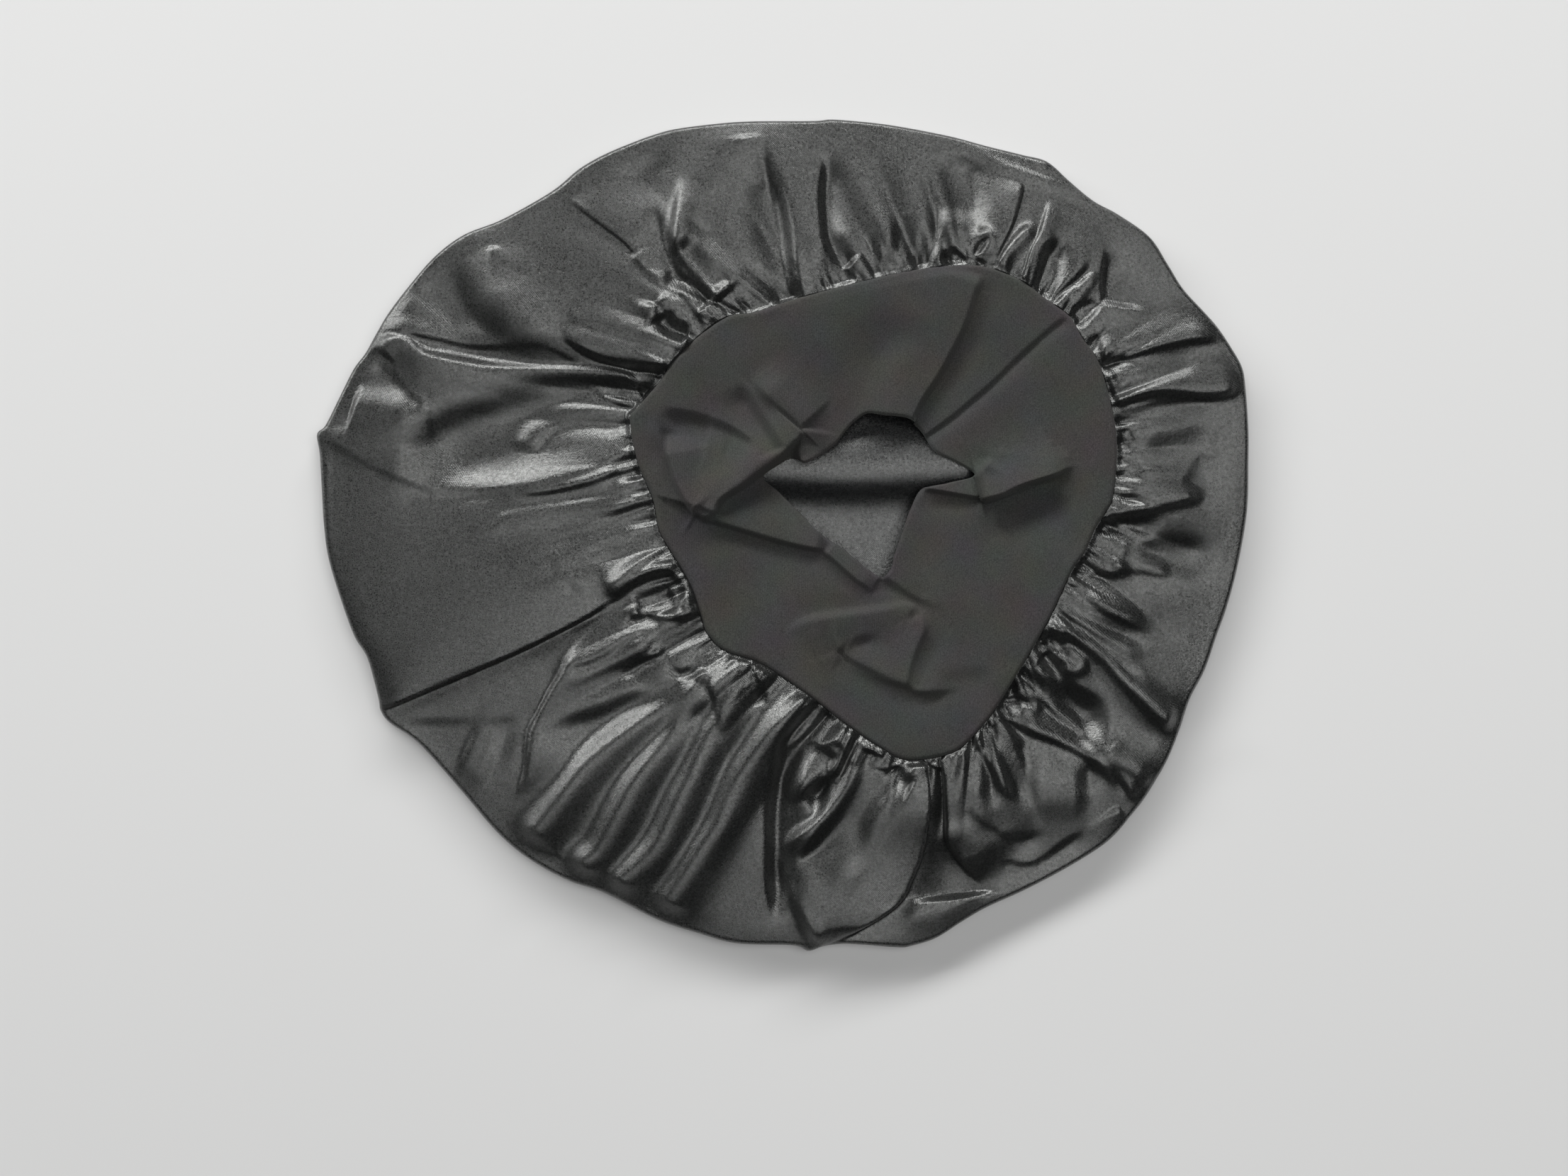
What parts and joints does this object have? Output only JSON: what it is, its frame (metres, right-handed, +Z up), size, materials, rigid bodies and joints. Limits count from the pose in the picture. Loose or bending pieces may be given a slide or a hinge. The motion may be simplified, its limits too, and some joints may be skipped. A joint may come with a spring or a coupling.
{
  "type": "hair bonnet",
  "caption": "Gathered satin hair bonnet lying flat with its mouth up, its wide stretch band folded inward over the crown.",
  "frame": {"origin": "middle of the bonnet's box, on the surface it lies on", "axes": "+X along the longer side of the bonnet as it lies, +Y across it, +Z up out of the mouth"},
  "size_m": [0.331, 0.295, 0.0222],
  "materials": {
    "satin": "black polyester satin, glossy outside",
    "lining_satin": "black polyester satin, glossy inside",
    "band_knit": "matte black stretch knit",
    "thread": "black sewing thread"
  },
  "bodies": {
    "root": {"satin_shell": "satin", "satin_lining": "lining_satin", "stretch_band": "band_knit", "gather_seam_thread": "thread", "band_closing_thread": "thread"}
  },
  "joints": []
}
